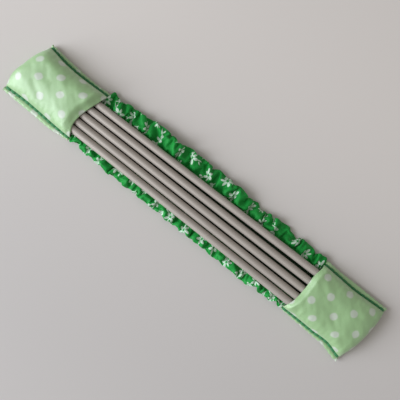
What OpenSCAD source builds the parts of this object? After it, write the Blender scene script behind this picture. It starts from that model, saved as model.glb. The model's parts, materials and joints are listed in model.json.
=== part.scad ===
// Elasticated fabric case for a set of five double-pointed knitting needles.
// X runs along the case from the left pocket to the right one, Y across it, and Z up.
// The origin is under the middle of the case, on the surface that it lies on.

/* [Needles] */
// Length of a needle from point to point
needle_len = 200; // [170:5:230]
// Diameter of a needle's shaft
needle_d = 3.75; // [3:0.25:4.5]
// Length of the taper at each point
point_len = 9; // [6:1:14]
// Radius of the rounded tip
tip_r = 0.6; // [0.4:0.1:0.9]
// Gap between neighbouring needles at their left points
needle_gap = 0.3; // [0.2:0.1:0.6]
// How much wider each gap is than the one before it, at the right points
needle_fan = 0.35; // [0:0.05:0.5]
// Distance that the bundle lies off the middle line, towards the near edge
bundle_offset = 1.3; // [0:0.1:2]
// How far each end of the bundle is turned, the left one towards the near edge
bundle_turn = 1.3; // [0:0.1:1.5]

/* [Pockets] */
// Length of each needle that a pocket covers
pocket_grip = 33; // [26:1:42]
// Room between a needle's point and the pocket's closed end
end_room = 5; // [4:0.5:8]
// Thickness of the closed end, where the front is joined to the back
end_wall = 1.5; // [1.3:0.1:2.5]
// Length over which the front panel rounds down to the closed end
nose_len = 13; // [11:1:16]
// Room between the bundle and the pocket's sides at the mouth
side_room = 1.1; // [1:0.1:2]
// How much wider the closed end is than the mouth, on each side
end_flare_w = 1.2; // [0:0.1:2.5]
// Room between the needles and the crown of the front panel
crown_room = 1.7; // [1.5:0.1:3]
// Thickness of the front panel's doubled cloth
front_t = 0.7; // [0.6:0.1:1.2]
// How far the middle of the left mouth is drawn back from its corners
left_mouth_recess = 2; // [0:0.1:3]
// How far the middle of the right mouth is drawn back from its corners
right_mouth_recess = 0.4; // [0:0.1:3]
// Distance that the left pocket lies off the middle line, towards the near edge
left_pocket_offset = 1.15; // [0.6:0.05:1.2]
// Width of the flat seam edge outside the front panel
seam_edge_w = 1.7; // [1.5:0.1:3]
// Thickness of each half of the seam edge
seam_edge_t = 0.8; // [0.6:0.1:1.2]
// Thickness of the back panel's cloth
back_t = 0.8; // [0.8:0.1:1.4]
// Radius that rounds the back panel's lower edges
back_edge_r = 1; // [0.6:0.1:1.2]
// Thickness of the lining
lining_t = 0.5; // [0.4:0.1:1]

/* [Strip] */
// Width of the gathered strip
strip_w = 33.6; // [32:0.2:36]
// Length of the strip's end that is sewn into each pocket
tab_len = 7.5; // [6:0.5:12]
// Thickness of the cover's cloth over the elastic
cover_t = 0.35; // [0.3:0.05:0.6]
// How far the elastic band lies inside each side of the strip's end
elastic_margin = 2.4; // [2:0.1:4]
// Thickness of the elastic band
elastic_t = 0.9; // [0.6:0.1:1.4]
// Number of ribs woven along the elastic band
elastic_ribs = 10; // [4:1:16]
// Depth of the grooves between the ribs
rib_depth = 0.15; // [0.05:0.05:0.2]
// Distance from one puff of the gathered cover to the next
puff_pitch = 10.5; // [8:0.5:16]
// Height of the frill along the far edge
frill_far_h = 4.8; // [3.8:0.2:6]
// Height of the frill along the near edge
frill_near_h = 3.8; // [3.4:0.2:4.4]
// Depth of the creases between the puffs along the frills
crease_d = 1.5; // [0.5:0.1:1.8]
// How far the frill's edge is drawn in at a crease
edge_wave = 1.5; // [0.5:0.1:2]

/* [Stitching] */
// Length of one stitch
stitch_len = 2.2; // [1.6:0.1:3]
// Width of the thread
stitch_w = 0.8; // [0.4:0.1:1]
// Thickness of the thread as it lies in the cloth
stitch_t = 0.3; // [0.2:0.05:0.4]
// Gap between one stitch and the next
stitch_gap = 0.5; // [0.3:0.1:1.2]

/* [Hidden] */
$fn = 48;

// The ends and edges of the case, as signs along X and Y
left = -1;
right = 1;
near = -1;
far = 1;

// Colours, as the photograph shows them
dotted_cotton = [0.68, 0.86, 0.62];
printed_cotton = [0.07, 0.48, 0.20];
lining_cotton = [0.80, 0.92, 0.76];
dark_thread = [0.08, 0.33, 0.16];
band_white = [0.93, 0.93, 0.90];
grey_metal = [0.66, 0.64, 0.62];

// Clearances between pieces that move, and between pieces that only lie together
running_gap = 0.3;
sewn_gap = 0.05;
// How far a cutting shape runs past what it cuts
overcut = 1;

// The bundle: needle 0 is the near one, at the lowest Y
last_needle = 4;
needle_r = needle_d / 2;
tip_x = needle_len / 2;
pitch = needle_d + needle_gap;
left_span = last_needle * pitch;
right_span = left_span + needle_fan * last_needle * (last_needle + 1) / 2;
function left_y(i) = -bundle_offset - bundle_turn - left_span / 2 + i * pitch;
function right_y(i) =
    -bundle_offset + bundle_turn - right_span / 2 + i * pitch + needle_fan * i * (i + 1) / 2;
// Its width between the outer axes, and half the width that holds it when it isn't turned
function bundle_span(x) = left_span + (right_span - left_span) * (x + tip_x) / needle_len;
function bundle_half(x) = bundle_offset + bundle_span(x) / 2 + needle_r;

// Heights of the layers inside a pocket, from the table up
tab_z = back_t + sewn_gap;
tab_t = elastic_t + 2 * cover_t + 2 * sewn_gap;
elastic_z = tab_z + cover_t + sewn_gap;
lining_z = tab_z + tab_t + sewn_gap;
bed_z = lining_z + lining_t;
needle_z = bed_z + running_gap + needle_r;
seam_z = 2 * back_t;

// A pocket's outline, drawn for the right end: it widens from the mouth to the closed end
mouth_x = tip_x - pocket_grip;
inner_end_x = tip_x + end_room;
outer_end_x = inner_end_x + end_wall;
pocket_len = outer_end_x - mouth_x;
flare_angle = atan(end_flare_w / pocket_len);
function inner_half(end, x) =
    bundle_half(end * mouth_x) + side_room + end_flare_w * (x - mouth_x) / pocket_len;
function outer_half(end, x) = inner_half(end, x) + front_t;
function edge_half(end, x) = outer_half(end, x) + seam_edge_w;
function mouth_recess(end) = end == left ? left_mouth_recess : right_mouth_recess;

// The inner and outer arches of the front panel: superellipses across and along the pocket
inner_crown = needle_z + needle_r + crown_room - seam_z;
outer_crown = inner_crown + front_t - seam_edge_t;
arch_power = 4;
nose_power = 2.5;
arch_steps = 14;
function clamp01(v) = max(0, min(1, v));
function fall(t, power) = pow(1 - pow(clamp01(t), power), 1 / power);
function across(j) = sin(180 * j / arch_steps - 90);
function drawn_back(end, u, x) = mouth_recess(end) * (1 - u * u) * (outer_end_x - x) / pocket_len;
function arch_point(end, j, x, half, crown, foot, end_x) =
    let (u = across(j), at = x + drawn_back(end, u, x))
    [at, half * u, foot + crown * fall(abs(u), arch_power) * fall((at - end_x) / nose_len + 1, nose_power)];
function outer_point(end, j, x) =
    arch_point(end, j, x, outer_half(end, x), outer_crown, seam_z + seam_edge_t, outer_end_x);
function inner_point(end, j, x) =
    arch_point(end, j, x, inner_half(end, x), inner_crown, seam_z, inner_end_x);

// One ring round the front panel's section: seam edge, outer arch, seam edge, inner arch
panel_n = 2 * arch_steps + 6;
function panel_ring(end, x) = concat(
    [[x, -edge_half(end, x), seam_z], [x, -edge_half(end, x), seam_z + seam_edge_t]],
    [for (j = [0 : arch_steps]) outer_point(end, j, x)],
    [[x, edge_half(end, x), seam_z + seam_edge_t], [x, edge_half(end, x), seam_z]],
    [for (j = [arch_steps : -1 : 0]) inner_point(end, j, x)]
);

// Stations along the front panel: even over the body, and closer round the nose
body_steps = 5;
nose_steps = 9;
nose_x = inner_end_x - nose_len;
panel_stations = concat(
    [for (i = [0 : body_steps - 1]) mouth_x + (nose_x - mouth_x) * i / body_steps],
    [for (i = [0 : nose_steps]) nose_x + nose_len * sin(90 * i / nose_steps)],
    [(inner_end_x + outer_end_x) / 2, outer_end_x]
);

// The two triangles of a quad
function halves(q, flip) = flip
    ? [[q[2], q[1], q[0]], [q[3], q[2], q[0]]]
    : [[q[0], q[1], q[2]], [q[0], q[2], q[3]]];

// The faces between two rings of n points that start at points a and b
function band_faces(a, b, n, flip) = [
    for (k = [0 : n - 1])
        each halves([a + k, a + (k + 1) % n, b + (k + 1) % n, b + k], flip)
];

// The faces of a tube that runs through rings of n points, one after another
function tube_faces(rings, n) = [
    for (s = [0 : rings - 2]) each band_faces(s * n, (s + 1) * n, n, false)
];

// Closes the front panel's end at ring s by pairing its outer arch with its inner one
function panel_cap(s, flip) = let (a = s * panel_n, last = a + panel_n - 1, foot = a + arch_steps + 2) [
    each halves([a, a + 1, a + 2, last], flip),
    for (j = [0 : arch_steps - 1]) each halves([last - j, a + 2 + j, a + 3 + j, last - 1 - j], flip),
    each halves([foot + 3, foot, foot + 1, foot + 2], flip)
];

module front_panel(end) {
    count = len(panel_stations);
    color(dotted_cotton)
        polyhedron(
            points = [for (x = panel_stations) each panel_ring(end, x)],
            faces = concat(
                tube_faces(count, panel_n),
                panel_cap(0, true),
                panel_cap(count - 1, false)
            ),
            convexity = 4
        );
}

module along_x(from, to) {
    translate([from, 0, 0]) rotate([90, 0, 90]) linear_extrude(to - from) children();
}

module along_y(length) {
    rotate([90, 0, 0]) linear_extrude(length, center = true) children();
}

// Section of the back panel inside an edge at 0, which is rounded underneath
module edge_section(depth) {
    polygon(concat(
        [for (a = [0 : 15 : 90]) [back_edge_r * (sin(a) - 1), back_edge_r * (1 - cos(a))]],
        [[0, seam_z], [-depth, seam_z], [-depth, 0]]
    ));
}

// All that lies inside the far edge of a pocket, which runs at the flare's angle
module inside_far_edge(end) {
    translate([mouth_x, edge_half(end, mouth_x), 0])
        rotate([0, 0, flare_angle])
            along_x(-pocket_len, 2 * pocket_len) edge_section(2 * strip_w);
}

// The pocket's plan between its walls, from just before the mouth to the closed end
module inner_plan(end, gap) {
    start_x = mouth_x - overcut;
    end_x = inner_end_x - gap;
    start_half = inner_half(end, start_x) - gap;
    end_half = inner_half(end, end_x) - gap;
    polygon([[start_x, -start_half], [end_x, -end_half], [end_x, end_half], [start_x, start_half]]);
}

// The anchor stitching crosses the back panel under the strip's end, in a groove
anchor_x = mouth_x + tab_len / 2;
anchor_inset = 1;
function anchor_half(end) = inner_half(end, mouth_x) - anchor_inset;

module back_panel(end) {
    groove_w = stitch_w + 2 * sewn_gap;
    color(dotted_cotton)
        difference() {
            intersection() {
                inside_far_edge(end);
                mirror([0, 1, 0]) inside_far_edge(end);
                translate([outer_end_x, 0, 0]) along_y(2 * strip_w) edge_section(pocket_len);
            }
            // the hollow that takes the strip's end and the lining
            translate([0, 0, back_t]) linear_extrude(seam_z) inner_plan(end, 0);
            // the groove for the anchor stitching
            translate([anchor_x - groove_w / 2, -anchor_half(end), -overcut])
                cube([groove_w, 2 * anchor_half(end), overcut + stitch_t + sewn_gap]);
        }
}

// The lining lies over the strip's end, then drops to the back panel
lining_overlap = 1;
lining_slope = 4;
lining_step_x = mouth_x + tab_len + lining_overlap;
module lining(end) {
    low_z = back_t + lining_t;
    crease = lining_t / 2;
    color(lining_cotton)
        intersection() {
            along_y(2 * strip_w)
                polygon([
                    [mouth_x, lining_z],
                    [lining_step_x, lining_z],
                    [lining_step_x + lining_slope, back_t],
                    [inner_end_x, back_t],
                    [inner_end_x, low_z],
                    [lining_step_x + lining_slope + crease, low_z],
                    [lining_step_x + crease, bed_z],
                    [mouth_x, bed_z]
                ]);
            linear_extrude(2 * bed_z) inner_plan(end, running_gap);
        }
}

// One stitch along X, with round ends, standing on z = 0
module stitch() {
    straight = stitch_len - stitch_w;
    linear_extrude(stitch_t) {
        square([straight, stitch_w], center = true);
        for (x = [-straight / 2, straight / 2])
            translate([x, 0]) circle(d = stitch_w, $fn = 24);
    }
}

// A row of as many stitches along X as the length holds
module stitch_row(length) {
    step = stitch_len + stitch_gap;
    count = floor((length + stitch_gap) / step);
    for (i = [0 : count - 1])
        translate([(i - (count - 1) / 2) * step, 0, 0]) stitch();
}

// The side stitching runs along the foot of the front panel, on the seam edge
module side_stitching(end, edge) {
    middle_x = mouth_x + pocket_len / 2;
    row_y = outer_half(end, middle_x) + stitch_w / 2 + 2 * sewn_gap;
    row_margin = 0.7;
    color(dark_thread)
        translate([middle_x, edge * row_y, seam_z + seam_edge_t])
            rotate([0, 0, edge * flare_angle])
                stitch_row(pocket_len - 2 * row_margin);
}

module anchor_stitching(end) {
    color(dark_thread)
        translate([anchor_x, 0, sewn_gap])
            rotate([0, 0, 90])
                stitch_row(2 * anchor_half(end) - stitch_gap);
}

// The left pocket's pieces are drawn as for the right end, mirrored, and moved towards the near edge
module at_end(end) {
    if (end == left) translate([0, -left_pocket_offset, 0]) mirror([1, 0, 0]) children();
    else children();
}

// A needle's rounded tip, as distance from its axis against place along it
tip_arc = 70;
function tip_outline(way) = [
    for (k = [0 : 5])
        let (a = way == right ? tip_arc * (1 - k / 5) : tip_arc * k / 5)
        [tip_r * sin(a), way * (tip_x - tip_r + tip_r * cos(a))]
];

module needle(i) {
    yaw = atan((right_y(i) - left_y(i)) / needle_len);
    shoulder = tip_x - point_len;
    color(grey_metal)
        translate([0, (left_y(i) + right_y(i)) / 2, needle_z])
            rotate([0, 0, yaw])
                rotate([0, 90, 0])
                    rotate_extrude()
                        polygon(concat(
                            tip_outline(left),
                            [[needle_r, -shoulder], [needle_r, shoulder]],
                            tip_outline(right)
                        ));
}

// The strip's flat ends, which lie inside the pockets
strip_end_x = mouth_x + tab_len;
tab_side_room = 0.8;
tab_half = inner_half(left, mouth_x) - tab_side_room;
elastic_w = 2 * (tab_half - elastic_margin);

// The elastic band, with a groove between each two of its woven ribs
module elastic_band() {
    rib_w = elastic_w / elastic_ribs;
    groove = 0.1 * rib_w;
    lower = concat(
        [[-elastic_w / 2, 0]],
        [
            for (i = [1 : elastic_ribs - 1], p = [[-groove, 0], [0, rib_depth], [groove, 0]])
                [-elastic_w / 2 + i * rib_w + p[0], p[1]]
        ],
        [[elastic_w / 2, 0]]
    );
    upper = [for (k = [len(lower) - 1 : -1 : 0]) [lower[k][0], elastic_t - lower[k][1]]];
    color(band_white)
        along_x(-strip_end_x, strip_end_x)
            translate([0, elastic_z]) polygon(concat(lower, upper));
}

// The gathered cover: a flat tube of cloth whose puffs and creases run across it.
// The puffs are uneven along the strip, and differ between its two edges.
puff_roundness = 0.7;
function puff(phase) = pow(abs(sin(180 * phase)), puff_roundness);
function far_phase(x) = let (n = x / puff_pitch)
    n + 0.22 * sin(360 * n / 3.9) + 0.13 * sin(360 * n / 1.6);
function near_phase(x) = let (n = x / puff_pitch)
    n + 0.31 + 0.2 * sin(360 * n / 3.4 + 70) + 0.12 * sin(360 * n / 1.8);
function puff_at(x, across) = puff((1 + across) / 2 * far_phase(x) + (1 - across) / 2 * near_phase(x));

// Its top, as places across, the highest point there, the creases' depth there, and the
// place between the near edge's puffs and the far edge's
bed_top = bed_z - sewn_gap;
bed_crease = 0.45;
far_bed_rise = 0.2;
frill_in = 2.4;
strip_half = strip_w / 2;
near_bed_y = needle_r - bundle_half(mouth_x);
far_bed_y = bundle_half(mouth_x) - 2 * bundle_offset;
top_profile = [
    [frill_in - strip_half, frill_near_h, crease_d, -1],
    [near_bed_y, bed_top, bed_crease, -0.8],
    [near_bed_y / 2, bed_top, bed_crease, -0.4],
    [0, bed_top, bed_crease, 0],
    [far_bed_y / 2, bed_top, bed_crease, 0.4],
    [far_bed_y, bed_top + far_bed_rise, 2 * bed_crease, 0.8],
    [strip_half - frill_in, frill_far_h, crease_d, 1]
];

// Its underside lies on the table, and lifts a little at the creases
side_z = 2;
under_lift = 0.75;
under_places = [0.76, 0.36, 0, -0.36, -0.76];
function under_z(x, across) = max(0, under_lift * (1 - 1.6 * puff_at(x, across)));
function edge_y(x, edge) = edge * (strip_half - edge_wave * (1 - puff_at(x, edge)));

// One ring round the cover: over the top, down the far side, back underneath, up the near side
function free_ring(x) = concat(
    [for (p = top_profile) [x, p[0], p[1] - p[2] * (1 - puff_at(x, p[3]))]],
    [[x, edge_y(x, far), side_z]],
    [for (u = under_places) [x, u * strip_half, under_z(x, u)]],
    [[x, edge_y(x, near), side_z]]
);

// A flat ring with the same points: its middle, half the width of its flats, and its heights
side_bevel = 0.5;
function flat_ring(x, middle, flat_half, low, high) = concat(
    [for (k = [0 : 6]) [x, middle + flat_half * (k / 3 - 1), high]],
    [[x, middle + flat_half + side_bevel, (low + high) / 2]],
    [for (k = [0 : 4]) [x, middle + flat_half * (1 - k / 2), low]],
    [[x, middle - flat_half - side_bevel, (low + high) / 2]]
);
function tab_ring(x) =
    flat_ring(x, x < 0 ? -left_pocket_offset : 0, tab_half - side_bevel, tab_z, tab_z + tab_t);
function slot_ring(x) =
    flat_ring(x, 0, elastic_w / 2 + sewn_gap, elastic_z - sewn_gap, elastic_z + elastic_t + sewn_gap);

// Over this length before each mouth, the gathers close up to the flat end
closing_len = 3.4;
free_x = mouth_x - running_gap - sewn_gap;
function looseness(x) = let (t = clamp01((free_x - abs(x)) / closing_len)) t * t * (3 - 2 * t);
function cover_ring(x) = looseness(x) * free_ring(x) + (1 - looseness(x)) * tab_ring(x);

cover_step = 1.6;
module ruched_cover() {
    count = ceil(2 * free_x / cover_step);
    stations = concat(
        [-strip_end_x],
        [for (s = [0 : count]) free_x * (2 * s / count - 1)],
        [strip_end_x]
    );
    rings = [for (x = stations) cover_ring(x)];
    slot_rings = [slot_ring(-strip_end_x), slot_ring(strip_end_x)];
    n = len(rings[0]);
    last = (len(rings) - 1) * n;
    slot = last + n;
    color(printed_cotton)
        polyhedron(
            points = [for (ring = concat(rings, slot_rings)) each ring],
            faces = concat(
                tube_faces(len(rings), n),
                band_faces(slot, slot + n, n, true),
                band_faces(0, slot, n, true),
                band_faces(last, slot + n, n, false)
            ),
            convexity = 8
        );
}

ruched_cover();
elastic_band();
at_end(left) front_panel(left);  // left_front_panel
at_end(left) back_panel(left);  // left_back_panel
at_end(left) lining(left);  // left_lining
at_end(left) side_stitching(left, near);  // left_near_stitching
at_end(left) side_stitching(left, far);  // left_far_stitching
at_end(left) anchor_stitching(left);  // left_anchor_stitching
at_end(right) front_panel(right);  // right_front_panel
at_end(right) back_panel(right);  // right_back_panel
at_end(right) lining(right);  // right_lining
at_end(right) side_stitching(right, near);  // right_near_stitching
at_end(right) side_stitching(right, far);  // right_far_stitching
at_end(right) anchor_stitching(right);  // right_anchor_stitching
needle(0);  // needle_1
needle(1);  // needle_2
needle(2);  // needle_3
needle(3);  // needle_4
needle(4);  // needle_5
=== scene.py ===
"""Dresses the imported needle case: two dotted cotton pockets, a gathered strip and five needles.

Sizes are in millimetres in the same frame as the solids: X along the case, Y across it, Z up from
the table. Meshes are brought to metres when they are finished.
"""

import json
import logging
import math
from bisect import bisect_left
from dataclasses import dataclass, field
from enum import Enum
from typing import Callable

import bmesh
import bpy
from mathutils import Matrix, Vector, noise

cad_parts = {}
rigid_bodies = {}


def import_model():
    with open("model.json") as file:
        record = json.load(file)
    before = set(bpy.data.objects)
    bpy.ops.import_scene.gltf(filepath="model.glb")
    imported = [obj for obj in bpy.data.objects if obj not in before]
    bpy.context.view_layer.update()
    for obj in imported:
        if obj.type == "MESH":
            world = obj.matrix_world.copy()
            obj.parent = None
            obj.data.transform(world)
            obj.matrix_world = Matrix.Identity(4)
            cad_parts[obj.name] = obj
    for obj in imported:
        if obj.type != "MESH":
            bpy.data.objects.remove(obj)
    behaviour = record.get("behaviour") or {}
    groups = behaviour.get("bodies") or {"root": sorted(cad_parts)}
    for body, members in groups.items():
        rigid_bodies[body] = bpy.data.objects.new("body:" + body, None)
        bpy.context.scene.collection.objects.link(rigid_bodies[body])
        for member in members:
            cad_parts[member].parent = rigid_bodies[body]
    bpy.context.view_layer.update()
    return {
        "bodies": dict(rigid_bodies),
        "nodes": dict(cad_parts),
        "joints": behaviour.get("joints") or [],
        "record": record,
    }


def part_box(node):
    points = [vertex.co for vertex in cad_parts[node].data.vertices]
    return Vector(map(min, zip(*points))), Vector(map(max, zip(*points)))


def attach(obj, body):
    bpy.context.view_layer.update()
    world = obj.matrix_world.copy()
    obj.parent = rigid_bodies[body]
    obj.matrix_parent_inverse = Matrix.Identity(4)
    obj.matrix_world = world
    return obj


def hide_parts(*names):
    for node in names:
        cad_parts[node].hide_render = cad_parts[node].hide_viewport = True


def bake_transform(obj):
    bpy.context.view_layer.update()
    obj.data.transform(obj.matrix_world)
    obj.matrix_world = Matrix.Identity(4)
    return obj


MM = 0.001
CLOTH_MAP = "cloth"
log = logging.getLogger("needle_case")

Socket = bpy.types.NodeSocket
Material = bpy.types.Material
Object = bpy.types.Object
Form = bmesh.types.BMesh
Pair = tuple[float, float]
Colour = tuple[float, float, float]
Place = Callable[[float, float], Vector]
Flat = Callable[[float, float], Pair | Vector]
Oval = tuple[Pair, float, Pair]


class End(Enum):
    """The two ends of the case, as signs along X."""

    LEFT = -1
    RIGHT = 1


class Edge(Enum):
    """The two long edges of the case, as signs along Y."""

    NEAR = -1
    FAR = 1


# ------------------------ small helpers


def mix(first: float, second: float, share: float) -> float:
    """The value a share of the way from first to second."""
    return first + (second - first) * share


def smooth(value: float, low: float, high: float) -> float:
    """0 below low, 1 above high, and a smooth step between them."""
    share = min(1.0, max(0.0, (value - low) / (high - low)))
    return share * share * (3 - 2 * share)


def drift(x: float, y: float, seed: float) -> float:
    """Smooth noise from -1 to 1 that is the same at every run."""
    return noise.noise(Vector((x, y, seed)))


def through(values: tuple[float, ...], share: float) -> float:
    """A value that runs smoothly through evenly spaced ones, for a share from 0 to 1."""
    place = min(1.0, max(0.0, share)) * (len(values) - 1)
    index = min(int(place), len(values) - 2)
    before = values[max(0, index - 1)]
    first, second = values[index], values[index + 1]
    after = values[min(len(values) - 1, index + 2)]
    t = place - index
    return 0.5 * (2 * first + (second - before) * t
                  + (2 * before - 5 * first + 4 * second - after) * t * t
                  + (3 * first - before - 3 * second + after) * t * t * t)


class Path:
    """A line of points that is measured along its length."""

    def __init__(self, points: list[Vector]) -> None:
        """Measures the line through the points."""
        self.points = points
        self.marks = [0.0]
        for first, second in zip(points, points[1:]):
            self.marks.append(self.marks[-1] + (second - first).length)

    @property
    def length(self) -> float:
        """The line's whole length."""
        return self.marks[-1]

    def at(self, distance: float) -> Vector:
        """The point a distance along the line."""
        index = min(max(bisect_left(self.marks, distance) - 1, 0), len(self.points) - 2)
        low, high = self.marks[index:index + 2]
        share = (distance - low) / max(1e-9, high - low)
        return self.points[index].lerp(self.points[index + 1], min(1.0, max(0.0, share)))


def link(thing: Object) -> Object:
    """Puts an object in the scene."""
    bpy.context.scene.collection.objects.link(thing)
    return thing


def new_piece(name: str, form: Form, finish: Material) -> Object:
    """Turns a bmesh in millimetres into a smooth-shaded object in metres.

    Args:
        name: The piece's name.
        form: The bmesh, which is freed.
        finish: The piece's material.

    Returns:
        The new object, at the origin.
    """
    form.transform(Matrix.Scale(MM, 4))
    mesh = bpy.data.meshes.new(name)
    form.to_mesh(mesh)
    form.free()
    mesh.shade_smooth()
    mesh.materials.append(finish)
    return link(bpy.data.objects.new(name, mesh))


def lay_cloth(columns: int, rows: int, flat: Flat, place: Place) -> Form:
    """Lays a flat grid of cloth in a form, with its face up.

    Args:
        columns: Cells across the cloth.
        rows: Cells along it.
        flat: Gives the place on the flat cloth, in mm, for places from -1 to 1 across and along.
        place: Gives the point in space, in mm, for the same places.

    Returns:
        The cloth as a bmesh, in mm.
    """
    cloth = bmesh.new()
    uv = cloth.loops.layers.uv.new(CLOTH_MAP)
    bmesh.ops.create_grid(cloth, x_segments=columns, y_segments=rows, size=1)
    for face in cloth.faces:
        for loop in face.loops:
            loop[uv].uv = Vector(flat(loop.vert.co.x, loop.vert.co.y)) * MM
    for vert in cloth.verts:
        vert.co = place(vert.co.x, vert.co.y)
    cloth.normal_update()
    if sum(face.normal.z * face.calc_area() for face in cloth.faces) < 0:
        bmesh.ops.reverse_faces(cloth, faces=cloth.faces)
    return cloth


def even(cut: Pair, shift: Pair = (0.0, 0.0), turn: float = 0.0) -> Flat:
    """The flat places of a cloth of the given cut, with its print turned in degrees and shifted in mm."""
    print_turn = Matrix.Rotation(math.radians(turn), 2)
    return lambda a, b: print_turn @ Vector(((a + 1) / 2 * cut[0], (b + 1) / 2 * cut[1])) + Vector(shift)


def thicken(piece: Object, thickness: float) -> Object:
    """Gives a sheet its thickness below its face, in mm."""
    wall = piece.modifiers.new("wall", "SOLIDIFY")
    wall.thickness = thickness * MM
    wall.offset = -1
    wall.use_even_offset = False
    return piece


def refine(piece: Object) -> Object:
    """Smooths a piece."""
    finer = piece.modifiers.new("finer", "SUBSURF")
    finer.levels = finer.render_levels = 1
    return piece


# ------------------------ finishes


def toned(tint: Colour, factor: float) -> Colour:
    """A colour made lighter or darker."""
    return tuple(factor * part for part in tint)


class Wiring:
    """Adds nodes to one tree and wires them up."""

    def __init__(self, tree: bpy.types.NodeTree) -> None:
        """Works on the tree."""
        self.tree = tree

    def feed(self, socket: Socket, value: object) -> None:
        """Links a socket to the value if that is a socket, and sets it otherwise."""
        if isinstance(value, Socket):
            self.tree.links.new(value, socket)
        else:
            socket.default_value = value

    def add(self, kind: str, values: dict[str | int, object] | None = None,
            **settings: object) -> bpy.types.Node:
        """Adds a node with its own settings, and feeds its inputs with the values."""
        node = self.tree.nodes.new(kind)
        for name, value in settings.items():
            setattr(node, name, value)
        for key, value in (values or {}).items():
            self.feed(node.inputs[key], value)
        return node

    def math(self, operation: str, *values: object) -> Socket:
        """The result of one Math node."""
        return self.add("ShaderNodeMath", dict(enumerate(values)), operation=operation).outputs[0]

    def vector(self, operation: str, *values: object) -> Socket:
        """The result of one Vector Math node."""
        node = self.add("ShaderNodeVectorMath", dict(enumerate(values)), operation=operation)
        return node.outputs["Value" if operation in ("LENGTH", "DOT_PRODUCT") else "Vector"]

    def scaled(self, vector: object, factor: object) -> Socket:
        """A vector times one number."""
        node = self.add("ShaderNodeVectorMath", {0: vector, "Scale": factor}, operation="SCALE")
        return node.outputs["Vector"]

    def turned(self, vector: object, angle: object) -> Socket:
        """A vector turned about Z, by an angle in radians."""
        return self.add("ShaderNodeVectorRotate", {"Vector": vector, "Angle": angle},
                        rotation_type="Z_AXIS").outputs[0]

    def parts(self, vector: object) -> tuple[Socket, Socket]:
        """A vector's X and Y."""
        node = self.add("ShaderNodeSeparateXYZ", {0: vector})
        return node.outputs[0], node.outputs[1]

    def colour(self, factor: object, first: object, second: object, how: str = "MIX") -> Socket:
        """One colour mixed with another."""
        node = self.add("ShaderNodeMix", data_type="RGBA", blend_type=how)
        for index, value in ((0, factor), (6, first), (7, second)):
            if isinstance(value, tuple):
                value = (*value, 1.0)
            self.feed(node.inputs[index], value)
        return node.outputs[2]

    def step(self, value: object, low: float, high: float) -> Socket:
        """A smooth step from 0 at low to 1 at high, which may be the lower of the two."""
        return self.add("ShaderNodeMapRange", {0: value, 1: low, 2: high},
                        interpolation_type="SMOOTHSTEP").outputs[0]

    def spread(self, value: object, low: float, high: float) -> Socket:
        """A value from 0 to 1 spread from low to high."""
        return self.add("ShaderNodeMapRange", {0: value, 3: low, 4: high}).outputs[0]

    def noise(self, vector: object, scale: float, detail: float = 2.0, output: str | int = 0) -> Socket:
        """Noise from 0 to 1, as a value or as a colour."""
        values = {"Vector": vector, "Scale": scale, "Detail": detail}
        return self.add("ShaderNodeTexNoise", values).outputs[output]


def woven_cloth_group() -> bpy.types.NodeTree:
    """The shared group for a plain weave: thread height, painted shade in the weave's grooves with a random
    slub tone, and slow fading.
    """
    name = "woven_cloth"
    if name in bpy.data.node_groups:
        return bpy.data.node_groups[name]
    tree = bpy.data.node_groups.new(name, "ShaderNodeTree")
    face = tree.interface
    face.new_socket("Cloth", in_out="INPUT", socket_type="NodeSocketVector")
    face.new_socket("Threads per metre", in_out="INPUT", socket_type="NodeSocketFloat")
    for output in ("Height", "Tone", "Fading"):
        face.new_socket(output, in_out="OUTPUT", socket_type="NodeSocketFloat")
    wander_scale, wander_reach = 260.0, 0.00035
    slub_shape, slub_scale, slub_height, slub_tone = (1.0, 9.0, 1.0), 330.0, 0.5, 0.07
    groove_shade, fading_scale = 0.84, 75.0

    w = Wiring(tree)
    source = w.add("NodeGroupInput")
    cloth, density = source.outputs[0], source.outputs[1]
    wander = w.vector("SUBTRACT", w.noise(cloth, wander_scale, output="Color"), (0.5, 0.5, 0.5))
    x, y = w.parts(w.scaled(w.vector("ADD", cloth, w.scaled(wander, wander_reach)), density))
    warp, weft = (w.math("SINE", w.math("MULTIPLY", value, math.pi)) for value in (x, y))
    over = w.math("GREATER_THAN", w.math("MULTIPLY", warp, weft), 0.0)
    warp, weft = w.math("ABSOLUTE", warp), w.math("ABSOLUTE", weft)
    height = w.math("ADD", w.math("MULTIPLY", warp, over),
                    w.math("MULTIPLY", weft, w.math("SUBTRACT", 1.0, over)))
    slubs = w.noise(w.vector("MULTIPLY", cloth, slub_shape), slub_scale, 1.0)
    # Painted shade: the weave's grooves are made darker, and the slubs add random tone.
    shade_and_slubs = w.math("ADD", w.spread(height, groove_shade, 1.0), w.spread(slubs, -slub_tone, slub_tone))
    height = w.math("ADD", height, w.math("MULTIPLY", slubs, slub_height))
    w.add("NodeGroupOutput", dict(enumerate((height, shade_and_slubs, w.noise(cloth, fading_scale, 3.0)))))
    return tree


class Finish(Wiring):
    """A new material, with its shader and the wiring that leads to it."""

    def __init__(self, name: str) -> None:
        """Starts a material of that name."""
        self.material = bpy.data.materials.new(name)
        self.material.use_nodes = True
        super().__init__(self.material.node_tree)
        self.shader = self.tree.nodes["Principled BSDF"]

    def place(self) -> Socket:
        """The place in the object's frame, in metres."""
        return self.add("ShaderNodeTexCoord").outputs["Object"]

    def cloth(self) -> Socket:
        """The place on the flat cloth, in metres."""
        return self.add("ShaderNodeUVMap", uv_map=CLOTH_MAP).outputs[0]

    def weave(self, cloth: Socket, threads_per_metre: float) -> bpy.types.bpy_prop_collection:
        """The outputs of the shared weave on a cloth."""
        values = {"Cloth": cloth, "Threads per metre": threads_per_metre}
        return self.add("ShaderNodeGroup", values, node_tree=woven_cloth_group()).outputs

    def bump(self, strength: float, distance: float, height: Socket) -> Socket:
        """The normal of a face that a height roughens."""
        values = {"Strength": strength, "Distance": distance, "Height": height}
        return self.add("ShaderNodeBump", values).outputs[0]

    def done(self, values: dict[str, object]) -> Material:
        """Feeds the shader, and returns the finished material."""
        for name, value in values.items():
            self.feed(self.shader.inputs[name], value)
        return self.material


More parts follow.
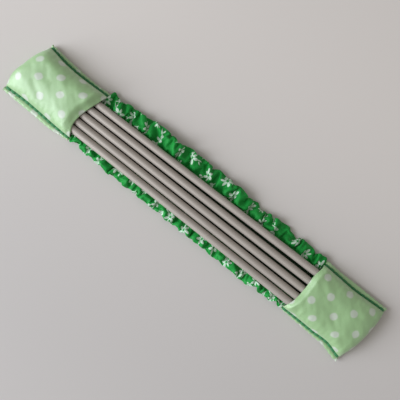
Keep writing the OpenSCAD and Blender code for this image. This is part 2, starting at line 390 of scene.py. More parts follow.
@dataclass(frozen=True)
class Cotton:
    """A woven cotton: its ground colour, and the colour of what is printed on it."""

    name: str
    ground: Colour
    printed: Colour
    threads_per_metre: float = 2600.0
    roughness: float = 0.86
    sheen: float = 0.25
    gloss: float = 0.2
    ior: float = 1.5
    fading: float = 0.16
    faded_tint: Colour = (0.9, 0.95, 0.88)

    def mask(self, w: Wiring, cloth: Socket) -> Socket | None:
        """The printed pattern's mask, or None for a plain cloth."""
        return None

    def base(self, w: Wiring, cloth: Socket) -> Colour | Socket:
        """The unprinted cloth's colour."""
        return self.ground

    def material(self) -> Material:
        """Builds the cloth's material."""
        w = Finish(self.name)
        cloth = w.cloth()
        weave = w.weave(cloth, self.threads_per_metre)
        height, shade_and_slubs = weave["Height"], weave["Tone"]
        pattern, base = self.mask(w, cloth), self.base(w, cloth)
        if pattern is not None:
            base = w.colour(pattern, base, self.printed)
        faded = w.colour(w.spread(weave["Fading"], 0.0, self.fading), base, self.faded_tint, "SOFT_LIGHT")
        # Painted shade: the colour is darkened in the weave's grooves, with the slubs' random tone.
        shade_grey = w.add("ShaderNodeCombineColor", {0: shade_and_slubs, 1: shade_and_slubs, 2: shade_and_slubs}).outputs[0]
        return w.done({
            "Base Color": w.colour(1.0, faded, shade_grey, "MULTIPLY"),
            "Roughness": w.spread(height, self.roughness + 0.08, self.roughness - 0.06),
            "Normal": w.bump(0.35, 0.00012, height),
            "Sheen Weight": self.sheen,
            "Sheen Roughness": 0.45,
            "Specular IOR Level": self.gloss,
            "IOR": self.ior,
        })


@dataclass(frozen=True)
class DottedCotton(Cotton):
    """Cotton with rows of round dots, printed at an angle to the cut."""

    spacing: float = 0.00955
    dot_radius: float = 0.00188
    softness: float = 0.0004
    raggedness: float = 0.00018
    turn: float = math.radians(45.0)

    def mask(self, w: Wiring, cloth: Socket) -> Socket:
        """White where a dot is printed."""
        cells = w.vector("ADD", w.scaled(w.turned(cloth, self.turn), 1 / self.spacing), (100.0, 100.0, 0.0))
        cell = w.vector("SUBTRACT", w.vector("FRACTION", cells), (0.5, 0.5, 0.0))
        from_middle = w.math("MULTIPLY", w.vector("LENGTH", cell), self.spacing)
        ragged = w.spread(w.noise(cloth, 1500.0, 1.0), -self.raggedness, self.raggedness)
        return w.step(w.math("ADD", from_middle, ragged),
                      self.dot_radius + self.softness, self.dot_radius - self.softness)


@dataclass(frozen=True)
class FloweredCotton(Cotton):
    """Cotton with small scattered blossoms and sprigs, and painted shade where it lies under the needles."""

    cell: float = 0.0145
    scatter: float = 0.34
    blossom_radius: float = 0.0033
    petals: int = 6
    bed_edge: float = 0.0262
    bed_fade: float = 0.0012
    # Painted shade between the needles: the share of the ground's brightness kept there.
    bed_tone: float = 0.12

    @staticmethod
    def oval(w: Wiring, spot: Socket, centre: Pair, turn: float, half: Pair) -> Socket:
        """The mask of one petal or leaf at a spot of the motif: an oval, turned in radians, of half sizes."""
        turned = w.turned(w.vector("SUBTRACT", spot, (*centre, 0.0)), -turn)
        squeezed = w.vector("MULTIPLY", turned, (1 / half[0], 1 / half[1], 0.0))
        return w.step(w.vector("LENGTH", squeezed), 1.12, 0.88)

    def motif(self, w: Wiring, cloth: Socket, offset: Pair, ovals: list[Oval]) -> Socket:
        """Scatters one motif, once in each cell, turned and moved at random.

        Args:
            w: The tree's wiring.
            cloth: The cloth's own coordinates.
            offset: Where the cells start, as shares of a cell.
            ovals: The centre, turn and half sizes of the motif's petals and leaves.

        Returns:
            The mask's socket.
        """
        cells = w.vector("ADD", w.scaled(cloth, 1 / self.cell), (50 + offset[0], 50 + offset[1], 0.0))
        chance = w.add("ShaderNodeTexWhiteNoise", {"Vector": w.vector("FLOOR", cells)},
                       noise_dimensions="3D").outputs
        shift = w.vector("MULTIPLY", w.vector("SUBTRACT", chance["Color"], (0.5, 0.5, 0.5)),
                         (self.scatter, self.scatter, 0.0))
        middle = w.vector("SUBTRACT", w.vector("FRACTION", cells), (0.5, 0.5, 0.0))
        spot = w.scaled(w.vector("SUBTRACT", middle, shift), self.cell)
        spot = w.turned(spot, w.math("MULTIPLY", chance["Value"], 2 * math.pi))
        mask = self.oval(w, spot, *ovals[0])
        for shape in ovals[1:]:
            mask = w.math("MAXIMUM", mask, self.oval(w, spot, *shape))
        return mask

    def mask(self, w: Wiring, cloth: Socket) -> Socket:
        """White where a blossom or a sprig is printed."""
        def oval(x: float, y: float, turn: float, length: float, width: float) -> Oval:
            """An oval whose sizes are shares of the blossom's radius."""
            reach = self.blossom_radius
            return (x * reach, y * reach), turn, (length * reach, width * reach)

        blossom = [oval(0.62 * math.cos(angle), 0.62 * math.sin(angle), angle, 0.42, 0.22)
                   for angle in (2 * math.pi * k / self.petals for k in range(self.petals))]
        stalk = [oval(-1.5, -0.1, math.radians(8), 0.55, 0.09),
                 oval(-1.55, 0.28, math.radians(-38), 0.3, 0.13)]
        sprig = [oval(0.0, 0.0, 0.0, 1.15, 0.09)] + [
            oval(along, side * 0.27, side * math.radians(48), 0.34, 0.14)
            for along in (-0.55, 0.05, 0.65) for side in (-1, 1)]
        printed = w.math("MAXIMUM", self.motif(w, cloth, (0.0, 0.0), blossom + stalk),
                         self.motif(w, cloth, (0.5, 0.5), sprig))
        # The print is left out under the painted shade of the needles' bed.
        return w.math("MULTIPLY", printed, w.math("SUBTRACT", 1.0, self.needle_bed_shade(w, cloth)))

    def needle_bed_shade(self, w: Wiring, cloth: Socket) -> Socket:
        """White in the middle of the cover's top, which only shows as thin lines between the needles: the
        mask of the shade painted there.
        """
        across = w.math("ABSOLUTE", w.parts(cloth)[0])
        return w.step(across, self.bed_edge, self.bed_edge + self.bed_fade)

    def base(self, w: Wiring, cloth: Socket) -> Socket:
        """The ground colour, with painted shade in the bed of the needles."""
        return w.colour(self.needle_bed_shade(w, cloth), self.ground, toned(self.ground, self.bed_tone))


@dataclass(frozen=True)
class Thread:
    """Twisted sewing thread."""

    tint: Colour = (0.032, 0.235, 0.08)
    twists_per_metre: float = 1500.0

    def material(self) -> Material:
        """Builds the thread's material: plies that run slantwise round it, with painted shade in the grooves
        between them.
        """
        w = Finish("thread")
        place = w.place()
        slant = w.vector("DOT_PRODUCT", place, (self.twists_per_metre,) * 3)
        ply = w.math("ABSOLUTE", w.math("SINE", w.math("MULTIPLY", slant, math.pi)))
        fuzz = w.noise(place, 4200.0)
        # Painted shade in the grooves between the plies, with random fuzz tone.
        ply_shade_and_fuzz = w.math("MULTIPLY", ply, w.spread(fuzz, 0.5, 1.0))
        return w.done({
            "Base Color": w.colour(ply_shade_and_fuzz, toned(self.tint, 0.5), toned(self.tint, 1.35)),
            "Roughness": w.spread(fuzz, 0.55, 0.8),
            "Normal": w.bump(0.5, 0.0001, ply),
            "Sheen Weight": 0.3,
        })


@dataclass(frozen=True)
class WovenElastic:
    """White elastic with ribs along it and fine cross threads."""

    tint: Colour = (0.78, 0.78, 0.74)
    threads_per_metre: float = 1900.0

    def material(self) -> Material:
        """Builds the elastic's material, with painted shade in the low parts of its weave."""
        w = Finish("elastic")
        weave = w.weave(w.vector("MULTIPLY", w.cloth(), (1.0, 0.5, 1.0)), self.threads_per_metre)
        return w.done({
            # Painted shade: the weave's low parts are made darker, with slub variation.
            "Base Color": w.colour(weave["Height"], toned(self.tint, 0.7), self.tint),
            "Roughness": w.spread(weave["Fading"], 0.6, 0.8),
            "Normal": w.bump(0.5, 0.0002, weave["Height"]),
        })


@dataclass(frozen=True)
class SatinMetal:
    """Grey anodised aluminium, brushed along the needle."""

    tint: Colour = (0.455, 0.41, 0.375)
    roughness: float = 0.58

    def material(self) -> Material:
        """Builds the needles' material."""
        w = Finish("needle_metal")
        place = w.place()
        brushed = w.noise(w.vector("MULTIPLY", place, (30.0, 2600.0, 2600.0)), 1.0, 3.0)
        worn = w.noise(w.vector("MULTIPLY", place, (60.0, 260.0, 260.0)), 1.0, 4.0)
        return w.done({
            "Base Color": w.colour(worn, toned(self.tint, 0.88), toned(self.tint, 1.1)),
            "Roughness": w.math("ADD", w.spread(brushed, -0.07, 0.07),
                                w.spread(worn, self.roughness - 0.04, self.roughness + 0.06)),
            "Normal": w.bump(0.08, 0.00005, brushed),
            "Metallic": 0.35,
        })


@dataclass(frozen=True)
class Tabletop:
    """The pale, matt surface that the case lies on, with painted light: lighter towards the far side."""

    near_shaded_tint: Colour = (0.575, 0.547, 0.543)
    far_lit_tint: Colour = (0.71, 0.665, 0.645)
    lighter_towards: tuple[float, float, float] = (-0.21, 0.98, 0.0)
    light_fade_length: float = 0.2

    def material(self) -> Material:
        """Builds the tabletop's material."""
        w = Finish("tabletop")
        place, half = w.place(), self.light_fade_length / 2
        soft = w.spread(w.noise(place, 6.0), -0.06, 0.06)
        # Painted light: the table is made lighter towards the far side, with random soft tone.
        painted_light = w.step(w.vector("DOT_PRODUCT", place, self.lighter_towards), -half, half)
        return w.done({
            "Base Color": w.colour(w.math("ADD", painted_light, soft), self.near_shaded_tint, self.far_lit_tint),
            "Roughness": 0.9,
            "Specular IOR Level": 0.1,
        })


# ------------------------ pockets


@dataclass(frozen=True)
class SeamLine:
    """A pocket's side seam, from mouth to closed end: its place across, and its edge's width."""

    across: tuple[float, ...]
    edge_width: tuple[float, ...]


@dataclass
class Pocket:
    """One dotted pocket: front, back, lining, side stitching and the strip's anchor stitching.

    Lines and widths run evenly from the near edge to the far one, or from the mouth to the closed
    end. Places on the front are u across it, from -1 to 1, and v along it, from 0 at the mouth to 1.
    """

    end: End
    seams: dict[Edge, SeamLine]
    mouth_line: tuple[float, ...]
    end_line: tuple[float, ...]
    crown: float
    lip: float
    lip_rise: float
    powers: dict[Edge, float]
    turn: float
    print_shift: Pair
    seed: float
    tail: float = 0.9
    lean: float = 0.0
    nose: float = 0.3
    nose_power: float = 3.0
    mouth_power: float = 3.7
    body_cloth: float = 0.625
    dome_ease: float = 1.12
    seam_z: float = 1.75
    hem_radius: float = 0.4
    hem_depth: float = 4.5
    front_wall: float = 0.34
    back_wall: float = 0.55
    lining_wall: float = 0.4
    columns: int = 84
    rows: int = 66
    arch_steps: int = 96
    groove: float = 0.75
    stitch_pitch: float = 2.7
    side_thread_width: float = 1.9
    anchor_thread_width: float = 0.55
    sections: dict[float, list[Vector]] = field(default_factory=dict)

    @property
    def label(self) -> str:
        """The pocket's name in its pieces' names."""
        return self.end.name.lower()

    @property
    def length(self) -> float:
        """Its length along the middle, without the hem."""
        return abs(through(self.end_line, 0.5) - through(self.mouth_line, 0.5))

    @property
    def hem(self) -> float:
        """The length of cloth that the mouth's hem takes."""
        return math.pi * self.hem_radius + self.hem_depth

    @property
    def front_cut(self) -> Pair:
        """The front's flat width, measured over its curve halfway along, and its flat length."""
        return Path(self.section(0.5)).length, self.hem + self.length * self.dome_ease

    def along(self, share: float, v: float) -> float:
        """The place along the case, v of the way from the mouth, a share of the way across."""
        return mix(through(self.mouth_line, share), through(self.end_line, share), v)

    def seam_point(self, edge: Edge, v: float) -> Pair:
        """The plan point on a side seam, v of the way from the mouth to the closed end."""
        return self.along(0.0 if edge is Edge.NEAR else 1.0, v), through(self.seams[edge].across, v)

    def plan(self, u: float, v: float) -> Pair:
        """The plan point u across the pocket, from -1 at the near seam to 1 at the far one."""
        share = (u + 1) / 2
        near, far = (self.seam_point(edge, v)[1] for edge in Edge)
        return self.along(share, v), mix(near, far, share)

    def height(self, u: float, v: float) -> float:
        """The front's height above its seams: flat over the needles at the mouth, and domed behind it."""
        past = max(0.0, (v - (1 - self.nose)) / self.nose)
        nose = max(0.0, 1 - past ** self.nose_power) ** (1 / self.nose_power)
        rise = smooth(v, 0.0, self.lip_rise)
        fullness = self.powers[Edge.FAR if u > 0 else Edge.NEAR]
        power = mix(self.mouth_power, fullness, smooth(v, 0.0, 2.5 * self.lip_rise))
        side = max(0.0, 1 - abs(u) ** power) ** (1 / power) * (1 + self.lean * u * (1 - u * u) * rise)
        return self.crown * nose * mix(self.lip, 1.0, rise) * mix(1.0, self.tail, v) * side

    def creases(self, x: float, y: float, u: float, v: float) -> float:
        """The front's small folds and puckers, above its smooth form."""
        seed = self.seed
        inside = min(1.0, (1 - abs(u)) * 7) * min(1.0, (1 - v) * 25)
        soft = 0.5 * drift(x / 9.0, y / 8.0, seed) + 0.2 * drift(x / 4.0, y / 4.4, seed + 7)
        tug = 0.32 * drift(x / 12.0 + y / 5.0, y / 16.0 - x / 30, seed + 13)
        fine = 0.16 * drift((x + y) / 3.4, (x - y) / 9.0, seed + 17)
        beside_stitches = math.cos(2 * math.pi * x / self.stitch_pitch + 1.5 * drift(x / 6, y / 6, seed))
        pull = 0.22 * beside_stitches * math.exp(-(1 - abs(u)) * 6)
        return (soft + tug + fine + pull) * inside

    def rim(self, edge: Edge, v: float) -> list[Vector]:
        """The section of a folded seam edge, from its outer foot to the seam's groove."""
        x, y = self.seam_point(edge, v)
        groove = self.groove
        scallop = 0.22 * math.cos(2 * math.pi * x / self.stitch_pitch)
        fold = max(through(self.seams[edge].edge_width, v), groove + 0.7) + scallop
        profile = ((fold, -0.25), (fold + 0.08, 0.15), (fold - 0.12, 0.6), (0.3 * groove + 0.7 * fold, 0.95),
                   (groove + 0.3, 0.85), (groove, 0.5), (groove - 0.15, 0.0), (0.1, 0.0))
        return [Vector((x, y + edge.value * out, self.seam_z + up)) for out, up in profile]

    def section(self, v: float) -> list[Vector]:
        """The front's section at v, from the near edge to the far one, at the grid's columns."""
        key = round(v, 6)
        if key not in self.sections:
            line = self.rim(Edge.NEAR, v)
            for k in range(self.arch_steps + 1):
                u = math.sin(math.radians(180 * k / self.arch_steps - 90))
                x, y = self.plan(u, v)
                line.append(Vector((x, y, self.seam_z + self.height(u, v) + self.creases(x, y, u, v))))
            path = Path(line + self.rim(Edge.FAR, v)[::-1])
            self.sections[key] = [path.at(path.length * column / self.columns)
                                  for column in range(self.columns + 1)]
        return self.sections[key]

    def on_front(self, column: float, share: float) -> Vector:
        """The front's point at a column, a share of the way along its cloth from the mouth."""
        body = 1 - self.nose
        if share < self.body_cloth:
            v = body * share / self.body_cloth
        else:
            over = (share - self.body_cloth) / (1 - self.body_cloth)
            v = body + self.nose * math.sin(math.radians(90 * over))
        return self.section(min(v, 1.0))[round(column)].copy()

    def front_place(self, a: float, b: float) -> Vector:
        """The front's point for a place on its cloth, with the hem folded under at the mouth."""
        body = self.length * self.dome_ease
        along = (b + 1) / 2 * (self.hem + body) - self.hem
        column = (a + 1) / 2 * self.columns
        if along >= 0:
            return self.on_front(column, along / body)
        here = max(0.0, (-along - math.pi * self.hem_radius) / body)
        point = self.on_front(column, here)
        side = min(max(round(column), 1), self.columns - 1)
        across = self.on_front(side + 1, here) - self.on_front(side - 1, here)
        onward = self.on_front(side, here + 0.01) - self.on_front(side, here)
        up = across.cross(onward).normalized()
        if up.z < 0:
            up = -up
        out = -onward.normalized()
        angle = min(math.pi, -along / self.hem_radius)
        puffed = smooth(min(column, self.columns - column) / self.columns, 0.06, 0.13)
        radius = self.hem_radius * mix(0.3, 1.0, puffed)
        return point + out * (radius * math.sin(angle)) - up * (radius * (1 - math.cos(angle)))

    def back_place(self, a: float, b: float) -> Vector:
        """The back's point for a place on its cloth."""
        v, share = (b + 1) / 2, (a + 1) / 2
        near, far = (self.seam_point(edge, v)[1]
                     + edge.value * (through(self.seams[edge].edge_width, v) - 0.15) for edge in Edge)
        x, y = self.along(share, v), mix(near, far, share)
        rise = max(abs(a) ** 9, smooth(v, 0.93, 1.0))
        wave = 0.12 * drift(x / 7.0, y / 7.0, self.seed + 21)
        return Vector((x, y, mix(0.62 + wave * 0.5, 1.45 + wave, rise)))

    def lining_place(self, a: float, b: float) -> Vector:
        """The lining's point: over the strip's end, then down to the back."""
        x, y = self.plan(0.93 * a, 0.02 + 0.95 * (b + 1) / 2)
        from_mouth = abs(x - through(self.mouth_line, (a + 1) / 2))
        z = mix(3.02, 1.3, smooth(from_mouth, 8.5, 12.5)) + 0.1 * drift(x / 5, y / 5, self.seed + 31)
        return Vector((x, y, z))

    def front(self, finish: Material) -> None:
        """Builds the front with its hem and flat seam edges."""
        cut = self.front_cut
        cloth = lay_cloth(self.columns, self.rows, even(cut, self.print_shift, self.turn), self.front_place)
        self.sew("front", cloth, cut, self.front_wall, finish)

    def back(self, finish: Material) -> None:
        """Builds the back, which lies on the table."""
        cut = (35.0, self.length)
        cloth = lay_cloth(44, 44, even(cut, (5.0, 3.0)), self.back_place)
        self.sew("back", cloth, cut, self.back_wall, finish)

    def lining(self, finish: Material) -> None:
        """Builds the lining."""
        cut = (27.0, self.length)
        cloth = lay_cloth(30, 40, even(cut), self.lining_place)
        self.sew("lining", cloth, cut, self.lining_wall, finish)

    def sew(self, part: str, cloth: Form, cut: Pair, wall: float, finish: Material) -> None:
        """Makes a cloth a piece with a thickness in its node's place, and logs its cut.

        Args:
            part: Which cloth of the pocket it is.
            cloth: The cloth as it is laid, which is freed.
            cut: Its flat size, in mm.
            wall: Its thickness, in mm.
            finish: Its material.
        """
        name = f"{self.label}_{part}"
        piece = refine(thicken(new_piece(f"{name}_cloth", cloth, finish), wall))
        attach(piece, f"{self.label}_pocket")
        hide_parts(name if part == "lining" else f"{name}_panel")
        log.info("%s: cut %.0f x %.0f mm", piece.name, *cut)

    def stitch_row(self, row: str, path: Path, width: float, finish: Material) -> None:
        """Builds a row of stitches, as one object that stands for its node.

        Args:
            row: Which row of the pocket it is.
            path: The line that it follows, in mm.
            width: The thread's width.
            finish: The thread's material.
        """
        stitches = bmesh.new()
        count = int(path.length // self.stitch_pitch)
        pitch = path.length / count
        bluntness, flatness, dip = 0.5, 0.24, 0.14
        for k in range(count):
            middle = (k + 0.5) * pitch
            heading = path.at(middle + pitch / 2) - path.at(middle - pitch / 2)
            yaw = math.atan2(heading.y, heading.x) + 0.1 * drift(k * 0.7, 3.1, self.seed)
            half = 0.5 * pitch * (1.06 + 0.04 * drift(k * 1.3, 5.7, self.seed))
            made = bmesh.ops.create_uvsphere(stitches, u_segments=8, v_segments=8, radius=1,
                                             matrix=Matrix.Rotation(math.pi / 2, 4, "Y"))
            for vert in made["verts"]:
                x, y, z = vert.co
                vert.co = Vector((half * math.copysign(abs(x) ** bluntness, x), width / 2 * y,
                                  width * (flatness * z - dip * x * x)))
            bmesh.ops.transform(stitches, verts=made["verts"],
                                matrix=Matrix.Translation(path.at(middle)) @ Matrix.Rotation(yaw, 4, "Z"))
        bmesh.ops.recalc_face_normals(stitches, faces=stitches.faces)
        piece = new_piece(f"{self.label}_{row}_thread", stitches, finish)
        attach(piece, f"{self.label}_pocket")
        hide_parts(f"{self.label}_{row}_stitching")
        log.info("%s: %d stitches", piece.name, count)

    def side_thread(self, edge: Edge, finish: Material) -> None:
        """Builds the stitching over one side seam's groove."""
        points = []
        for k in range(61):
            x, y = self.seam_point(edge, mix(0.01, 0.985, k / 60))
            points.append(Vector((x, y + edge.value * 0.35, self.seam_z + 0.78)))
        self.stitch_row(edge.name.lower(), Path(points), self.side_thread_width, finish)

    def anchor_thread(self, finish: Material) -> None:
        """Builds the stitching under the back that holds the strip's end."""
        low, high = (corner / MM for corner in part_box(f"{self.label}_anchor_stitching"))
        x = (low.x + high.x) / 2
        points = [Vector((x, mix(low.y, high.y, k / 20), 0.1)) for k in range(21)]
        self.stitch_row("anchor", Path(points), self.anchor_thread_width, finish)

    def build(self, dotted: Material, plain: Material, thread: Material) -> None:
        """Builds and dresses every piece of the pocket."""
        self.front(dotted)
        self.back(dotted)
        self.lining(plain)
        for edge in Edge:
            self.side_thread(edge, thread)
        self.anchor_thread(thread)


# ------------------------ strip


@dataclass(frozen=True)
class Frill:
    """One long edge of the gathered cover: where it starts, how far it reaches and how high it stands."""

    start: Pair
    reach: tuple[float, ...]
    height: float


@dataclass
class Strip:
    """The gathered cover and the elastic inside it, each cut in two halves at the middle."""

    mouths: dict[End, tuple[float, ...]]
    free_x: float = 66.6
    half_length: float = 74.5
    tab_half: float = 11.86
    tab_shift: dict[End, float] = field(default_factory=lambda: {End.LEFT: -1.15, End.RIGHT: 0.0})
    bed_z: float = 2.8
    side_z: float = 2.0
    gathers: float = 1.65
    cut_width: float = 70.0
    roughness: float = 0.35
    seed: float = 1.0
    wall: float = 0.3
    clear_of_table: float = 0.12
    ribs: int = 10
    frames: int = 24
    drawn_by: int = 18
    enlarged: float = 20.0
    frills: dict[Edge, Frill] = field(default_factory=lambda: {
        Edge.NEAR: Frill((12.6, 12.1), (16.6, 17.8, 17.3, 17.4, 17.0, 17.4, 15.8), 3.9),
        Edge.FAR: Frill((8.1, 11.0), (16.0, 18.6, 18.8, 19.2, 19.2, 18.8, 18.2), 4.8),
    })

    @property
    def cut(self) -> Pair:
        """The cover's flat width and length, in mm."""
        return self.cut_width, 2 * self.half_length * self.gathers

    def smooth_form(self, a: float, b: float) -> tuple[Vector, float]:
        """The cover without its gathers, and how free its cloth is there, from 0 to 1.

        Args:
            a: The place round it, from -1 to 1, with the middle of the underside at 0.
            b: The place along it, from -1 to 1.

        Returns:
            The point, in mm, and the freedom.
        """
        x = b * self.half_length
        end = End.RIGHT if x > 0 else End.LEFT
        side, up = math.sin(math.pi * a), -math.cos(math.pi * a)
        before_mouth = abs(through(self.mouths[end], 0.5 + 0.5 * side)) - abs(x)
        edge = Edge.FAR if side > 0 else Edge.NEAR
        frill = self.frills[edge]
        along = (x / self.free_x + 1) / 2
        loose = smooth(before_mouth, -0.9, 0.4)
        half = mix(self.tab_half, through(frill.reach, along), loose)
        start = mix(*frill.start, along)
        y = half * side
        hump = smooth(abs(y), start + 0.2, start + 2.6) * (1 - smooth(abs(y), half - 1.2, half))
        y += self.tab_shift[end] * (1 - loose)
        top = mix(2.5, mix(self.bed_z, frill.height, hump), loose)
        low = mix(0.9, 0.3, loose)
        middle = mix((top + low) / 2, self.side_z, loose)
        z = mix(middle, top if up > 0 else low, abs(up) ** 0.55)
        freedom = smooth(abs(y), start - 0.6, start + 0.5) * smooth(before_mouth, 0.2, 1.0)
        bumps = drift(x / 2.4, a * 5, self.seed) + 0.5 * drift(x / 1.2, a * 9, self.seed + 3)
        z += self.roughness * bumps * smooth(abs(y), start - 0.5, start + 1.5) * loose
        z = max(z, self.clear_of_table)
        return Vector((x, y, z)), freedom

    def flat_place(self, a: float, b: float) -> Pair:
        """The place on the flat cloth, in mm: equal steps in a are shorter near the edges."""
        side = math.sin(math.pi * abs(a))
        across = side if abs(a) < 0.5 else 2 - side
        return math.copysign(across, a) * self.cut_width / 4, b * self.cut[1] / 2

    def gather(self, piece: Object, needles: list[Object]) -> None:
        """Gathers the cover in a cloth simulation, and leaves the piece in the form that it takes.

        Its bed and ends are held, and are drawn together from the cut's length to the strip's. The
        cloth between them is free, so it buckles into folds over the table and beside the needles.

        Args:
            piece: The cover, ungathered, in metres.
            needles: The needles that it lies under.
        """
        mesh, scale = piece.data, self.enlarged
        drawn, cut, held = [], [], []
        for vert in mesh.vertices:
            spot = Vector(mesh.attributes["place"].data[vert.index].vector)
            point, freedom = self.smooth_form(spot.x, spot.y)
            point *= MM * scale
            drawn.extend(point)
            cut.extend((point.x * self.gathers, point.y, point.z))
            held.append(1 - freedom)
        stand_in = link(bpy.data.objects.new("cover_to_gather", mesh.copy()))
        stand_in.data.vertices.foreach_set("co", cut)
        pins = stand_in.vertex_groups.new(name="held")
        for index, weight in enumerate(held):
            pins.add([index], weight, "REPLACE")
        stand_in.shape_key_add(name="cut")
        gathered = stand_in.shape_key_add(name="gathered")
        gathered.data.foreach_set("co", drawn)
        for frame, value in ((1, 0.0), (self.drawn_by, 1.0)):
            gathered.value = value
            gathered.keyframe_insert("value", frame=frame)
        drawing = stand_in.data.shape_keys.animation_data.action

        stand_ins = [stand_in, self.obstacle(self.table())]
        for needle in needles:
            shape = needle.data.copy()
            shape.transform(needle.matrix_world)
            stand_ins.append(self.obstacle(shape))
        self.cloth_physics(stand_in)
        for frame in range(1, self.frames + 1):
            bpy.context.scene.frame_set(frame)
        result = stand_in.evaluated_get(bpy.context.evaluated_depsgraph_get()).data
        for vert, moved in zip(mesh.vertices, result.vertices):
            vert.co = moved.co / scale
            vert.co.z = max(vert.co.z, self.clear_of_table * MM)
        bpy.context.scene.frame_set(1)
        for made in stand_ins:
            data = made.data
            bpy.data.objects.remove(made)
            bpy.data.meshes.remove(data)
        bpy.data.actions.remove(drawing)

    @staticmethod
    def table() -> bpy.types.Mesh:
        """A stand-in for the table, in metres."""
        board = bmesh.new()
        bmesh.ops.create_grid(board, x_segments=20, y_segments=6, size=1,
                              matrix=Matrix.Diagonal((0.12, 0.04, 1, 1)))
        mesh = bpy.data.meshes.new("table")
        board.to_mesh(mesh)
        board.free()
        return mesh

    def obstacle(self, mesh: bpy.types.Mesh) -> Object:
        """Puts up a shape, given in metres, that the simulated cloth can't pass."""
        mesh.transform(Matrix.Scale(self.enlarged, 4))
        made = link(bpy.data.objects.new("obstacle", mesh))
        made.modifiers.new("hit", "COLLISION")
        made.collision.thickness_outer = 0.1 * MM * self.enlarged
        made.collision.thickness_inner = 1.0 * MM * self.enlarged
        made.collision.cloth_friction = 5
        return made

    def cloth_physics(self, piece: Object) -> None:
        """Gives a piece the physics of light cotton, for the enlarged scene."""
        modifier = piece.modifiers.new("cloth", "CLOTH")
        cloth, hits = modifier.settings, modifier.collision_settings
        cloth.quality, cloth.mass, cloth.air_damping = 6, 0.15, 2.0
        cloth.tension_stiffness = cloth.compression_stiffness = 25.0
        cloth.shear_stiffness, cloth.bending_stiffness = 8.0, 12.0
        cloth.tension_damping = cloth.compression_damping = cloth.shear_damping = 5
        cloth.vertex_group_mass = "held"
        cloth.use_pressure, cloth.uniform_pressure_force = True, 0.2
        cloth.effector_weights.gravity = 0.3
        hits.distance_min, hits.collision_quality = 0.08 * MM * self.enlarged, 3
        hits.use_self_collision, hits.self_distance_min = True, 0.22 * MM * self.enlarged
        modifier.point_cache.frame_start, modifier.point_cache.frame_end = 1, self.frames

    def cover(self, finish: Material, needles: list[Object]) -> None:
        """Builds the gathered cover and cuts it in two at the middle."""
        cloth = lay_cloth(64, 240, self.flat_place, lambda a, b: Vector((a, b, 0)))
        place = cloth.verts.layers.float_vector.new("place")
        for vert in cloth.verts:
            vert[place] = vert.co
            vert.co = self.smooth_form(vert.co.x, vert.co.y)[0]
        bmesh.ops.remove_doubles(cloth, verts=cloth.verts, dist=0.001)
        bmesh.ops.recalc_face_normals(cloth, faces=cloth.faces)
        whole = new_piece("ruched_cover_whole", cloth, finish)
        self.gather(whole, needles)
        whole.data.attributes.remove(whole.data.attributes["place"])
        thicken(refine(whole), self.wall)
        self.halves(whole, "ruched_cover", self.cut)

    def band(self, finish: Material) -> None:
        """Builds the ribbed elastic and cuts it in two at the middle."""
        low, high = (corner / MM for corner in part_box("elastic_band"))

        def place(a: float, b: float) -> Vector:
            """The elastic's upper face."""
            rib = 0.1 * abs(math.sin(math.pi * self.ribs * (a + 1) / 2)) ** 0.5
            return Vector((b * self.half_length, a * high.y, high.z - 0.1 + rib))

        cut = (2 * high.y, 2 * self.half_length)
        whole = new_piece("elastic_band_whole", lay_cloth(80, 60, even(cut), place), finish)
        thicken(whole, high.z - low.z)
        self.halves(whole, "elastic_band", cut)

    def halves(self, whole: Object, node: str, cut: Pair) -> None:
        """Cuts a piece in two at X = 0, one half for each end.

        Args:
            whole: The whole piece, which is removed.
            node: The node that the halves stand for.
            cut: The whole cloth's flat size, in mm; not used.
        """
        mesh = bpy.data.meshes.new_from_object(whole.evaluated_get(bpy.context.evaluated_depsgraph_get()))
        both = bmesh.new()
        both.from_mesh(mesh)
        bmesh.ops.bisect_plane(both, geom=[*both.verts, *both.edges, *both.faces], dist=1e-7,
                               plane_co=(0, 0, 0), plane_no=(1, 0, 0))
        both.normal_update()
        shading = both.verts.layers.float_vector.new("shading")
        for vert in both.verts:
            vert[shading] = vert.normal
        for end in End:
            half = both.copy()
            beyond = [face for face in half.faces if face.calc_center_median().x * end.value < 0]
            bmesh.ops.delete(half, context="FACES", geom=beyond)
            half.transform(Matrix.Scale(1 / MM, 4))
            piece = new_piece(f"{node}_{end.name.lower()}", half, whole.data.materials[0])
            shaded = piece.data.attributes["shading"]
            piece.data.normals_split_custom_set_from_vertices([item.vector for item in shaded.data])
            piece.data.attributes.remove(shaded)
            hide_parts(node)
            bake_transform(piece)
            log.info("%s: %d faces", piece.name, len(piece.data.polygons))
        both.free()
        bpy.data.objects.remove(whole)


# ------------------------ studio


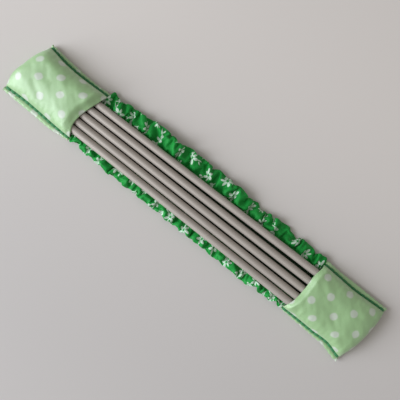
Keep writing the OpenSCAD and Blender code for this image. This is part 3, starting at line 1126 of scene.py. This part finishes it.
@dataclass
class Studio:
    """The pale table, soft daylight from the near side, and the camera above."""

    camera_height: float = 303.0
    view_angle: float = math.radians(36.0)
    roll: float = math.radians(38.85)
    aim: Pair = (1.2, 1.25)
    daylight: Colour = (0.93, 0.98, 1.03)
    room_light: Colour = (1.0, 0.965, 0.90)
    room_strength: float = 0.38
    floor_size: float = 2500.0

    def build(self) -> None:
        """Sets up the table, the lamps, the world and the camera."""
        floor = bmesh.new()
        bmesh.ops.create_grid(floor, x_segments=2, y_segments=2, size=self.floor_size)
        new_piece("tabletop", floor, Tabletop().material())
        self.lamp("window", (-760, -690, 450), 850, 12.5)
        self.lamp("upper_window", (-720, -680, 800), 700, 4.2)
        world = bpy.data.worlds.new("room")
        world.use_nodes = True
        room = world.node_tree.nodes["Background"].inputs
        room["Color"].default_value = (*self.room_light, 1.0)
        room["Strength"].default_value = self.room_strength
        bpy.context.scene.world = world
        self.camera()
        bpy.context.scene.view_settings.view_transform = "Standard"

    def lamp(self, name: str, place: tuple[float, float, float], size: float, watts: float) -> None:
        """Hangs one soft lamp that faces the case."""
        ply_shade_and_fuzz = bpy.data.lights.new(name, "AREA")
        ply_shade_and_fuzz.size = size * MM
        ply_shade_and_fuzz.energy = watts
        ply_shade_and_fuzz.color = self.daylight
        lamp = link(bpy.data.objects.new(name, ply_shade_and_fuzz))
        lamp.location = Vector(place) * MM
        lamp.rotation_euler = (-lamp.location).to_track_quat("-Z", "Y").to_euler()

    def camera(self) -> None:
        """Puts the camera straight above the case, turned as in the photograph."""
        lens = bpy.data.cameras.new("camera")
        lens.sensor_width = 36
        lens.lens = lens.sensor_width / 2 / math.tan(self.view_angle / 2)
        lens.clip_start = 0.01
        camera = link(bpy.data.objects.new("camera", lens))
        camera.location = Vector((*self.aim, self.camera_height)) * MM
        camera.rotation_euler = (0, 0, self.roll)
        bpy.context.scene.camera = camera


# ------------------------ the case


def case_pockets() -> list[Pocket]:
    """The two pockets, with the small differences between them."""
    left = Pocket(
        end=End.LEFT,
        seams={
            Edge.NEAR: SeamLine((-14.9, -14.8, -14.3, -14.1, -14.6), (1.6, 3.0, 3.3, 3.3, 2.6)),
            Edge.FAR: SeamLine((12.0, 11.6, 11.4, 12.0, 13.4), (1.9, 1.9, 2.4, 2.4, 1.9)),
        },
        mouth_line=(-67.4, -69.3, -68.7, -66.6, -65.0),
        end_line=(-107.7, -108.5, -107.0, -104.9, -102.3),
        crown=9.0, lip=0.73, lip_rise=0.11, powers={Edge.NEAR: 2.3, Edge.FAR: 3.4},
        tail=0.97, lean=0.2, turn=0, print_shift=(4.95, 1.3), seed=2.3,
    )
    right = Pocket(
        end=End.RIGHT,
        seams={
            Edge.NEAR: SeamLine((-13.9, -13.8, -13.9, -13.6, -15.8), (1.3, 2.0, 2.1, 3.0, 2.9)),
            Edge.FAR: SeamLine((14.6, 14.3, 13.9, 14.4, 14.9), (2.6, 2.6, 3.2, 2.7, 2.1)),
        },
        mouth_line=(65.2, 66.7, 67.1, 66.8, 68.3),
        end_line=(102.2, 104.4, 105.4, 105.9, 105.6),
        crown=8.6, lip=0.74, lip_rise=0.06, powers={Edge.NEAR: 3.0, Edge.FAR: 3.0},
        tail=0.82, turn=3, print_shift=(1.4, 1.4), seed=6.1,
    )
    return [left, right]


def main() -> None:
    """Builds the case piece by piece and reports each one."""
    logging.basicConfig(level=logging.INFO, format="%(name)s: %(message)s")
    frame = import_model()

    dotted = DottedCotton("dotted_cotton", (0.295, 0.53, 0.222), (0.53, 0.62, 0.505),
                          roughness=0.52, sheen=0.45, gloss=1.0, ior=1.76).material()
    flowered = FloweredCotton("printed_cotton", (0.004, 0.283, 0.038), (0.58, 0.76, 0.62),
                              roughness=0.65, sheen=0.04, gloss=0.3).material()
    plain = Cotton("lining_cotton", (0.52, 0.68, 0.48), (0.52, 0.68, 0.48)).material()
    thread = Thread().material()
    pockets = case_pockets()
    for pocket in pockets:
        pocket.build(dotted, plain, thread)
    needles = {name: node for name, node in frame["nodes"].items() if name.startswith("needle_")}
    strip = Strip({pocket.end: pocket.mouth_line for pocket in pockets})
    strip.cover(flowered, list(needles.values()))
    strip.band(WovenElastic().material())

    metal = SatinMetal().material()
    for name, needle in needles.items():
        needle.data.materials.clear()
        needle.data.materials.append(metal)
        log.info("%s: satin metal", name)
    Studio().build()


if __name__ == "__main__":
    main()
